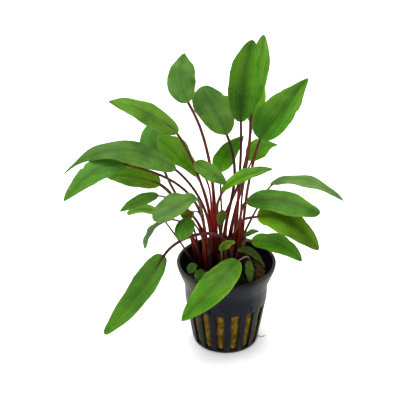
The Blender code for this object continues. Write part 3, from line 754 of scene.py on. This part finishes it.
def vein_group():
    """The lines of a blade, from its own flat map: midrib, veins, margin and their relief."""
    group = bpy.data.node_groups.new("leaf_lines", "ShaderNodeTree")
    sockets = group.interface
    sockets.new_socket("Map", in_out="INPUT", socket_type="NodeSocketVector")
    sockets.new_socket("Place", in_out="INPUT", socket_type="NodeSocketVector")
    into = group.nodes.new("NodeGroupInput")
    split = group.nodes.new("ShaderNodeSeparateXYZ")
    group.links.new(into.outputs["Map"], split.inputs[0])
    across = sums(group, "ABSOLUTE", sums(group, "MULTIPLY_ADD", split.outputs["X"], 2.0, -1.0))
    along = split.outputs["Y"]
    wander = cloudy(group, into.outputs["Place"], 260.0, 2.0)
    midrib = ease(group, across, 0.03, 0.10, 1.0, 0.0)
    lengthways = sums(group, "COSINE", sums(group, "MULTIPLY", across, LENGTHWAYS_VEINS))
    lengthways = sums(group, "MULTIPLY", ease(group, lengthways, 0.90, 1.0), 0.9)
    slant = sums(group, "MULTIPLY_ADD", across, -13.0, sums(group, "MULTIPLY", wander, 6.0))
    crossing = sums(group, "COSINE", sums(group, "MULTIPLY_ADD", along, SLANTED_VEINS, slant))
    branches = sums(group, "MULTIPLY", ease(group, crossing, 0.86, 1.0), 0.6)
    beside_midrib = sums(group, "SUBTRACT", 1.0, midrib)
    veins = sums(group, "MULTIPLY", sums(group, "MAXIMUM", lengthways, branches), beside_midrib)
    pores = sums(group, "MULTIPLY", cloudy(group, into.outputs["Place"], 700.0, 3.0), 0.7)
    runs = stretched(group, shifted_map(group, into), (9.0, 1.6, 1.0))
    shown = {
        "Midrib": midrib,
        "Middle": ease(group, sums(group, "MULTIPLY_ADD", wander, 0.30, across), 0.10, 0.75, 1.0, 0.0),
        "Veins": veins,
        "Margin": ease(group, across, 0.93, 1.0),
        "Relief": sums(group, "MULTIPLY_ADD", veins, -1.0, pores),
        "Near base": ease(group, along, 0.02, 0.22, 1.0, 0.0),
        "Streaks": ease(group, cloudy(group, runs, 1.0, 4.0, 0.6), 0.38, 0.62),
    }
    out = group.nodes.new("NodeGroupOutput")
    for name, value in shown.items():
        sockets.new_socket(name, in_out="OUTPUT", socket_type="NodeSocketFloat")
        group.links.new(value, out.inputs[name])
    return group


LEAF_LINES = vein_group()
SHADED_GREEN, LIT_GREEN = (0.006, 0.040, 0.001), (0.30, 0.60, 0.03)
VEIN_GREEN = (0.30, 0.46, 0.10)
MIDDLE_GREEN = (0.004, 0.020, 0.001)
STREAK_GREEN = (0.006, 0.045, 0.001)
MIDRIB_GREEN, MIDRIB_RED = (0.014, 0.026, 0.003), (0.060, 0.010, 0.004)
MARGIN_OLIVE = (0.060, 0.080, 0.012)
UNDERSIDE_GREY = (0.17, 0.20, 0.085)
FLECK_STRAW = (0.10, 0.085, 0.012)


def leaf_material(name, gloss, flecks, fleck_colour):
    """A waxy leaf: its own green with paler veins, a duller underside, and flecks of age."""
    material, tree, shader, place = open_material(name, gloss, 0.06)
    lines = tree.nodes.new("ShaderNodeGroup")
    lines.node_tree = LEAF_LINES
    tree.links.new(tree.nodes.new("ShaderNodeUVMap").outputs["UV"], lines.inputs["Map"])
    tree.links.new(place, lines.inputs["Place"])
    under, stem = attribute(tree, "under", "Fac"), attribute(tree, "stem", "Fac")
    blade = sums(tree, "SUBTRACT", 1.0, stem)
    tint = attribute(tree, "tint", "Color")

    def on_blade(line, strength):
        return sums(tree, "MULTIPLY", sums(tree, "MULTIPLY", lines.outputs[line], strength), blade)

    mottle = cloudy(tree, place, 75.0, 5.0, 0.6)
    darker = paint_over(tree, sums(tree, "MULTIPLY", blade, 0.22), tint, SHADED_GREEN)
    lighter = paint_over(tree, sums(tree, "MULTIPLY", blade, 0.10), tint, LIT_GREEN)
    colour = paint_over(tree, ease(tree, mottle, 0.32, 0.66), darker, lighter)
    colour = paint_over(tree, on_blade("Veins", 0.28), colour, paint_over(tree, 0.35, tint, VEIN_GREEN))
    colour = paint_over(tree, on_blade("Middle", 0.16), colour, MIDDLE_GREEN)
    colour = paint_over(tree, on_blade("Streaks", 0.22), colour, STREAK_GREEN)
    rib = paint_over(tree, 0.75, tint, MIDRIB_GREEN)
    rib = paint_over(tree, lines.outputs["Near base"], rib, MIDRIB_RED)
    colour = paint_over(tree, on_blade("Midrib", 0.30), colour, rib)
    colour = paint_over(tree, on_blade("Margin", 0.30), colour, MARGIN_OLIVE)
    spots = ease(tree, cloudy(tree, place, 420.0, 4.0, 0.6), *flecks)
    colour = paint_over(tree, sums(tree, "MULTIPLY", spots, blade), colour, fleck_colour)
    dull = paint_over(tree, 0.5, tint, UNDERSIDE_GREY)
    colour = paint_over(tree, sums(tree, "MULTIPLY", under, 0.42), colour, dull)
    wire(tree, colour, shader.inputs["Base Color"])
    shader.inputs["Subsurface Weight"].default_value = 0.35
    shader.inputs["Subsurface Radius"].default_value = (0.6, 1.0, 0.2)
    shader.inputs["Subsurface Scale"].default_value = 0.0012
    rough = sums(tree, "MULTIPLY_ADD", under, 0.14, ease(tree, mottle, 0.3, 0.7, gloss + 0.07, gloss - 0.06))
    wire(tree, rough, shader.inputs["Roughness"])
    relief = sums(tree, "MULTIPLY", lines.outputs["Relief"], blade)
    wire(tree, raised(tree, relief, 0.30, 0.0003), shader.inputs["Normal"])
    return material


SHEATH_STREAK, SHEATH_PATCH, SHEATH_DUST = (0.014, 0.003, 0.003), (0.16, 0.055, 0.022), (0.10, 0.055, 0.025)


def stalk_material():
    material, tree, shader, place = open_material("stalk_skin", 0.42, 0.12)
    tint = attribute(tree, "tint", "Color")
    streaks = cloudy(tree, stretched(tree, place, (1.0, 1.0, 0.12)), 1300.0, 3.0, 0.55)
    patches = cloudy(tree, stretched(tree, place, (1.0, 1.0, 0.5)), 190.0, 3.0)
    colour = paint_over(tree, ease(tree, streaks, 0.35, 0.68, 0.0, 0.55), tint, SHEATH_STREAK)
    colour = paint_over(tree, ease(tree, patches, 0.50, 0.72, 0.0, 0.30), colour, SHEATH_PATCH)
    dust, _ = grime(tree, place, 0.04)
    colour = paint_over(tree, dust, colour, SHEATH_DUST)
    wire(tree, colour, shader.inputs["Base Color"])
    wire(tree, ease(tree, streaks, 0.3, 0.7, 0.46, 0.32), shader.inputs["Roughness"])
    wire(tree, raised(tree, streaks, 0.30, 0.0002), shader.inputs["Normal"])
    return material


leaf_skin = leaf_material("leaf_skin", 0.42, (0.66, 0.74), FLECK_STRAW)
stalk_skin = stalk_material()
for leaf in LEAVES:
    paint = PAINTS[leaf.name]
    blade = bmesh.new()
    spread_blade(blade, leaf, BLADE_ROWS, BLADE_COLUMNS, WAVES.get(leaf.name, USUAL_WAVE), paint,
                 TRIMS.get(leaf.name, Trim()), NOTCHES.get(leaf.name, ()))
    put_down("leaf_" + leaf.name, blade, leaf_skin, "leaf_green", "blade_" + leaf.name,
             crease=LEAF_SHARP_ANGLE)
    stalk = bmesh.new()
    low_colour, high_colour = STALK_PAINTS.get(leaf.name, (STALK_RED, STALK_BROWN))
    stout = STOUT.get(leaf.name, 1.0)
    foot = FOOT_HALF_WIDTH * stout * SLIM_FEET.get(leaf.name, 1.0)
    draw_stalk(stalk, leaf, foot, STALK_HALF_WIDTH * stout, (low_colour, high_colour, paint.base))
    put_down("leaf_" + leaf.name + "_stalk", stalk, stalk_skin, "stalk_red", "stalk_" + leaf.name)


# The young leaves. Twelve smaller, thinner and mostly brighter leaves among the stalks, each blade
# and its slender stalk grown as one.

YOUNG_LEAVES = (
    Leaf("01", (9.3, 3.6), (8, 9, 81.6), (14, 21, 98.6), (17.6, 24, 105.1), (27.7, 28, 105.2), 11,
         (10, 40), 0, 0.42),
    Leaf("02", (-2.8, 4.2), (-2.9, 10, 77), (-3.8, 16, 94.8), (-0.4, 23, 101), (9.3, 31, 109), 11,
         (-10, 35), 5, 0.42),
    Leaf("03", (-4.6, 2.4), (-10.4, 1.4, 97), (-17.2, 0, 109.4), (-9, -6, 106.6), (-1, -12, 103), 9,
         (0, 50), 0, 0.45, knees=((-8.5, 1.4, 84),)),
    Leaf("04", (11.2, 1.2), (10.8, 8.5, 52), (10, 10, 58), (14, 11, 61), (18, 12, 60), 3.5,
         (0, 60), -20, 0.45),
    Leaf("05", (-14.4, 0.3), (-20, -6, 79.1), (-36, -5, 92.5), (-46, -8, 91), (-56.3, -11, 85.8), 6.6,
         (0, 45), -10, 0.42),
    Leaf("06", (-13.8, -2.6), (-22.8, -5, 60), (-32.8, -5, 76.4), (-42, -6, 84.7), (-52.6, -8, 82.5), 4.8,
         (0, 35), 15, 0.55),
    Leaf("07", (-12.6, -0.8), (-25.6, -9, 79), (-35.4, -12, 79.8), (-40.6, -15, 75.2), (-43.4, -17, 66.7), 5,
         (-60, 20), 20, 0.55, knees=((-18, -6, 66.8),)),
    Leaf("08", (-10.8, -4.1), (-14.9, -9, 73.4), (-18.2, -12, 82), (-22.3, -20, 81.5), (-23.3, -27, 78), 10,
         (0, 60), -10, 0.50, knees=((-12.3, -8.5, 64.4),)),
    Leaf("09", (-12.3, -5.2), (-14.3, -8, 49), (-17, -9.5, 53), (-18.9, -11.3, 51), (-20.3, -12.4, 48.4), 5,
         (-20, 50), 0, 0.45),
    Leaf("10", (-9.4, -5.6), (-10.5, -9.5, 48), (-12.3, -11.5, 50), (-14.1, -14.6, 49), (-15.8, -17.5, 46),
         6.4, (0, 60), 0, 0.45),
    Leaf("11", (-4.4, -4.6), (-3, -9, 53), (-2.6, -11, 62), (-1, -12, 66), (4, -14, 69), 5,
         (20, 20), 25, 0.45),
    Leaf("12", (-3, -2.6), (-3.2, -1.6, 60), (-3.5, -6, 74.7), (-3.2, -6, 80), (-2.3, -6, 84), 5.4,
         (30, 5), 20, 0.60),
)
YOUNG_PAINTS = {
    "01": Paint((0.074, 0.225, 0.004), (0.080, 0.235, 0.008), rim=0.2),
    "02": Paint((0.076, 0.265, 0.004), (0.036, 0.135, 0.001)),
    "03": Paint((0.044, 0.120, 0.004), (0.022, 0.078, 0.002)),
    "04": Paint((0.045, 0.150, 0.009), (0.045, 0.110, 0.015)),
    "05": Paint((0.052, 0.158, 0.017), (0.054, 0.165, 0.018), lean=-0.2),
    "06": Paint((0.130, 0.270, 0.045), (0.190, 0.370, 0.035), rim=0.4),
    "07": Paint((0.105, 0.155, 0.072), (0.100, 0.170, 0.070)),
    "08": Paint((0.026, 0.120, 0.002), (0.028, 0.125, 0.003), lean=-0.4),
    "09": Paint((0.022, 0.060, 0.014), (0.018, 0.045, 0.010)),
    "10": Paint((0.006, 0.042, 0.001), (0.020, 0.085, 0.002), lean=-0.4),
    "11": Paint((0.070, 0.125, 0.003), (0.090, 0.120, 0.006), rim=0.2),
    "12": Paint((0.040, 0.022, 0.002), (0.050, 0.052, 0.003), lean=0.6),
}
YOUNG_STALK_PAINTS = {
    "05": ((0.070, 0.020, 0.008), (0.055, 0.030, 0.010)),
    "06": ((0.060, 0.030, 0.008), (0.070, 0.075, 0.014)),
    "11": ((0.160, 0.060, 0.030), (0.300, 0.200, 0.120)),
}
YOUNG_ROWS, YOUNG_COLUMNS = 28, 12
YOUNG_WAVE = 0.4
YOUNG_STALK_HALF_WIDTH, YOUNG_FOOT_HALF_WIDTH = 0.48, 0.80

young_skin = leaf_material("young_leaf_skin", 0.40, (0.70, 0.78), FLECK_STRAW)
for leaf in YOUNG_LEAVES:
    paint = YOUNG_PAINTS[leaf.name]
    sprout = bmesh.new()
    spread_blade(sprout, leaf, YOUNG_ROWS, YOUNG_COLUMNS, YOUNG_WAVE, paint)
    low_colour, high_colour = YOUNG_STALK_PAINTS.get(leaf.name, (STALK_RED, STALK_BROWN))
    draw_stalk(sprout, leaf, YOUNG_FOOT_HALF_WIDTH, YOUNG_STALK_HALF_WIDTH,
               (low_colour, high_colour, paint.base))
    put_down("young_" + leaf.name, sprout, young_skin, "young_green", "young_leaf_" + leaf.name,
             crease=LEAF_SHARP_ANGLE)


# The old leaves. Three small leaves that are dying back, limp, curled and turned brown-olive, each
# still joined to its stalk.

OLD_LEAVES = (
    Leaf("01", (5.2, -2.2), (4.8, -6, 52), (5.5, -7, 59.5), (13, -9, 60.3), (20.5, -13, 53), 4.5,
         (20, 50), -20, 0.50),
    Leaf("02", (7.4, -4.2), (9, -10, 51), (11, -13, 57), (12, -17, 54), (12, -20, 48), 4.5,
         (0, 50), -10, 0.50),
    Leaf("03", (-11.6, -2.3), (-13.8, -7.5, 81.1), (-18.2, -8, 83.8), (-21, -8, 82), (-24.5, -9, 82.5), 6,
         (0, 35), 15, 0.45, knees=((-11.9, -6, 66.8),)),
)
OLD_PAINTS = {
    "01": Paint((0.022, 0.018, 0.003), (0.008, 0.007, 0.002)),
    "02": Paint((0.006, 0.006, 0.001), (0.003, 0.012, 0.001)),
    "03": Paint((0.100, 0.048, 0.004), (0.100, 0.085, 0.004), band=0.3),
}
ROT_BROWN = (0.050, 0.030, 0.006)
OLD_ROWS, OLD_COLUMNS = 24, 10
OLD_WAVE = 0.9
OLD_STALK_HALF_WIDTH, OLD_FOOT_HALF_WIDTH = 0.40, 0.68

old_skin = leaf_material("old_leaf_skin", 0.55, (0.54, 0.66), ROT_BROWN)
for leaf in OLD_LEAVES:
    paint = OLD_PAINTS[leaf.name]
    limp = bmesh.new()
    spread_blade(limp, leaf, OLD_ROWS, OLD_COLUMNS, OLD_WAVE, paint)
    draw_stalk(limp, leaf, OLD_FOOT_HALF_WIDTH, OLD_STALK_HALF_WIDTH, (STALK_RED, STALK_BROWN, paint.base))
    put_down("old_" + leaf.name, limp, old_skin, "old_olive", "old_leaf_" + leaf.name,
             crease=LEAF_SHARP_ANGLE)


# The loose thread. One dried root as thin as a thread, which has crept out through a slot at the
# pot's foot and lies on the table beside it.

# The points that the thread lies through, from inside the slot to its free end.
THREAD_COURSE = (
    (16.4, -1.9, 2.6), (18.4, -1.9, 0.9), (19.8, -1.8, 0.25), (21.2, -1.5, 0.25), (22.4, -0.9, 0.3),
)
THREAD_RADIUS = 0.22
THREAD_RINGS = 40
THREAD_SIDES = 8
THREAD_KINK = 0.05
DRY_DARK, DRY_PALE = (0.20, 0.15, 0.03), (0.46, 0.38, 0.13)


def dry_root():
    material, tree, shader, place = open_material("dry_root", 0.7, 0.2)
    fibres = cloudy(tree, stretched(tree, place, (0.3, 1.0, 1.0)), 1800.0, 4.0, 0.6)
    wire(tree, paint_over(tree, fibres, DRY_DARK, DRY_PALE), shader.inputs["Base Color"])
    wire(tree, raised(tree, fibres, 0.4, 0.0001), shader.inputs["Normal"])
    return material


thread = bmesh.new()
thread_course = [Vector(point) for point in THREAD_COURSE]
cap, last = None, None
for number in range(THREAD_RINGS + 1):
    share = number / THREAD_RINGS
    point, ahead = through(thread_course, share)
    point.z += THREAD_KINK * math.sin(share * 19)
    size = THREAD_RADIUS * (1 - 0.5 * share * share) * MM
    across = ahead.cross(Vector((0, 0, 1))).normalized()
    turn = Matrix((across * size, ahead.cross(across) * size, ahead)).transposed()
    ring = Matrix.Translation(point * MM) @ turn.to_4x4()
    _, cap = next_ring(thread, ring, last, cap, THREAD_SIDES)
    last = ring
put_down("root_thread", thread, dry_root(), "rootstock")


# The set. A wide white table, a broad soft lamp overhead in a white room, and the camera in front and
# above with a long lens.

ROOM_LIGHT = 1.15
LAMP_WATTS = 17.0
LAMP_SIDE = 1.0
LAMP_PLACE = (-0.1, 0.1, 1.1)
LAMP_AIM = Vector((0, 0, 0.08))
TABLE_HALF_WIDTH = 2.0
TABLE_DARK, TABLE_PALE = (0.91, 0.91, 0.91), (0.93, 0.93, 0.93)
LENS_LENGTH, FILM_WIDTH = 126.0, 36.0
CAMERA_PLACE = (-0.0143, -0.647, 0.4497)
CAMERA_PITCH = math.radians(60.7)


def white_table():
    material, tree, shader, place = open_material("white_table", 0.6, 0.2)
    grain = cloudy(tree, place, 18.0, 3.0)
    wire(tree, paint_over(tree, grain, TABLE_DARK, TABLE_PALE), shader.inputs["Base Color"])
    wire(tree, raised(tree, cloudy(tree, place, 900.0, 2.0), 0.04, 0.0002), shader.inputs["Normal"])
    return material


table_mesh = bmesh.new()
bmesh.ops.create_grid(table_mesh, x_segments=4, y_segments=4, size=TABLE_HALF_WIDTH)
table_data = bpy.data.meshes.new("table_top")
table_mesh.to_mesh(table_data)
table_mesh.free()
table_data.materials.append(white_table())
table = bpy.data.objects.new("table_top", table_data)
scene.collection.objects.link(table)

room = bpy.data.worlds.new("white_room")
room.use_nodes = True
room.node_tree.nodes["Background"].inputs["Color"].default_value = (1.0, 1.0, 1.0, 1.0)
room.node_tree.nodes["Background"].inputs["Strength"].default_value = ROOM_LIGHT
scene.world = room
lamp_data = bpy.data.lights.new("overhead_lamp", "AREA")
lamp_data.shape = "RECTANGLE"
lamp_data.size = LAMP_SIDE
lamp_data.size_y = LAMP_SIDE
lamp_data.energy = LAMP_WATTS
lamp = bpy.data.objects.new("overhead_lamp", lamp_data)
lamp.location = LAMP_PLACE
lamp.rotation_euler = (LAMP_AIM - lamp.location).to_track_quat("-Z", "Y").to_euler()
scene.collection.objects.link(lamp)

lens = bpy.data.cameras.new("long_lens")
lens.lens = LENS_LENGTH
lens.sensor_width = FILM_WIDTH
lens.clip_start, lens.clip_end = 0.05, 20.0
camera = bpy.data.objects.new("camera", lens)
camera.location = CAMERA_PLACE
camera.rotation_euler = (CAMERA_PITCH, 0, 0)
scene.collection.objects.link(camera)
scene.camera = camera
scene.view_settings.view_transform = "Standard"
scene.view_settings.look = "None"
